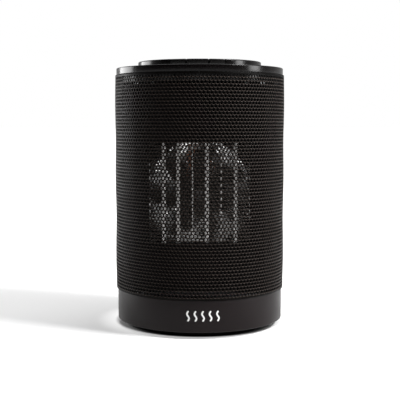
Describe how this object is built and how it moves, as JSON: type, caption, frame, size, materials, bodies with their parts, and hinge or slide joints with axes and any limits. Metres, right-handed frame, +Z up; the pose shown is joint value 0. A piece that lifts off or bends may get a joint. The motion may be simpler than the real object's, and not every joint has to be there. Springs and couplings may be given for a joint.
{
  "type": "ceramic space heater",
  "caption": "Upright cylindrical fan heater: a perforated steel sleeve round a ceramic element, with a raised key panel on top, turning on a round foot.",
  "frame": {"origin": "on the floor under the cylinder's axis, at the bottom of the rubber pads", "axes": "+Z up along the cylinder's axis, -Y the front where the warm air leaves, +X to the right seen from the front"},
  "size_m": [0.1588, 0.1588, 0.2457],
  "materials": {
    "grille_steel": "matte powder coat",
    "base_plastic": "satin black",
    "panel_plastic": "semi-gloss black",
    "button_plastic": "semi-gloss black",
    "foot_plastic": "matte black",
    "pad_rubber": "matte",
    "acetal": "natural acetal",
    "zinc_steel": "zinc plated",
    "lens": "smoked, polished",
    "display_case": "dark grey",
    "board": "green solder mask",
    "relay_case": "blue",
    "capacitor_film": "yellow",
    "terminal_plastic": "off-white nylon",
    "duct_plastic": "heat-proof black",
    "element_aluminium": "bright",
    "end_cap_plastic": "heat-proof, dark",
    "ptc_ceramic": "unglazed, dark grey",
    "brass": "bare",
    "lead_sleeve": "silicone sleeve, off-white",
    "core_steel": "stacked sheet",
    "copper_wire": "enamelled copper winding",
    "fan_plastic": "dark grey",
    "cutout_case": "brown phenolic"
  },
  "bodies": {
    "foot": {"foot_plate": "foot_plastic", "foot_pads": "pad_rubber", "slide_ring": "acetal", "pivot_hub": "acetal", "foot_gear": "acetal", "hub_screws": "zinc_steel"},
    "fan": {"motor_shaft": "zinc_steel", "motor_rotor": "core_steel", "fan_impeller": "fan_plastic", "fan_clip": "zinc_steel"},
    "swing_drive": {"swing_shaft": "zinc_steel", "swing_pinion": "acetal"},
    "tip_ball": {"tip_ball": "zinc_steel"},
    "heat_button": {"heat_button": "button_plastic"},
    "power_button": {"power_button": "button_plastic"},
    "swing_button": {"swing_button": "button_plastic"},
    "housing": {"base_ring": "base_plastic", "base_floor": "base_plastic", "tie_rods": "zinc_steel", "cord_gland": "foot_plastic", "heat_shield": "zinc_steel", "swing_motor": "zinc_steel", "swing_motor_screws": "zinc_steel", "tip_switch_case": "display_case", "tip_switch_cap": "display_case", "power_board": "board", "relays": "relay_case", "board_capacitor": "capacitor_film", "terminal_block": "terminal_plastic", "board_screws": "zinc_steel", "grille": "grille_steel", "top_cover": "panel_plastic", "control_disc": "panel_plastic", "display_lens": "lens", "display_module": "display_case", "control_board": "board", "tact_switches": "display_case", "panel_screws": "zinc_steel", "front_frame": "duct_plastic", "air_duct": "duct_plastic", "fan_shroud": "duct_plastic", "duct_screws": "zinc_steel", "frame_screws": "zinc_steel", "ptc_tubes": "element_aluminium", "ptc_plates": "element_aluminium", "ptc_stones": "ptc_ceramic", "ptc_fins": "element_aluminium", "ptc_end_caps": "end_cap_plastic", "ptc_terminals": "brass", "element_leads": "lead_sleeve", "thermal_cutout": "cutout_case", "thermal_fuse": "zinc_steel", "motor_mount": "zinc_steel", "motor_laminations": "core_steel", "motor_coil": "copper_wire", "motor_brackets": "zinc_steel", "motor_bearings": "brass", "motor_spacers": "zinc_steel", "motor_screws": "zinc_steel"}
  },
  "joints": [
    {"name": "swing", "type": "hinge", "parent": "foot", "child": "housing", "pos_m": [0, 0, 0.006], "axis": [0, 0, 1], "range_deg": [-35, 35]},
    {"name": "fan_spin", "type": "hinge", "parent": "housing", "child": "fan", "pos_m": [0, 0.007, 0.126], "axis": [0, 1, 0], "continuous": true},
    {"name": "pinion_turn", "type": "hinge", "parent": "housing", "child": "swing_drive", "pos_m": [-0.032, 0, 0.0115], "axis": [0, 0, 1], "range_deg": [-142, 142]},
    {"name": "ball_lift", "type": "slide", "parent": "housing", "child": "tip_ball", "axis": [0, 0, 1], "range_m": [0, 0.0045]},
    {"name": "heat_press", "type": "slide", "parent": "housing", "child": "heat_button", "axis": [0, 0, -1], "range_m": [0, 0.0008], "stiffness_N_per_m": 900, "springref_m": -0.0002},
    {"name": "power_press", "type": "slide", "parent": "housing", "child": "power_button", "axis": [0, 0, -1], "range_m": [0, 0.0008], "stiffness_N_per_m": 900, "springref_m": -0.0002},
    {"name": "swing_press", "type": "slide", "parent": "housing", "child": "swing_button", "axis": [0, 0, -1], "range_m": [0, 0.0008], "stiffness_N_per_m": 900, "springref_m": -0.0002}
  ],
  "couplings": [
    {"joint": "pinion_turn", "follows": "swing", "ratio": 4}
  ]
}
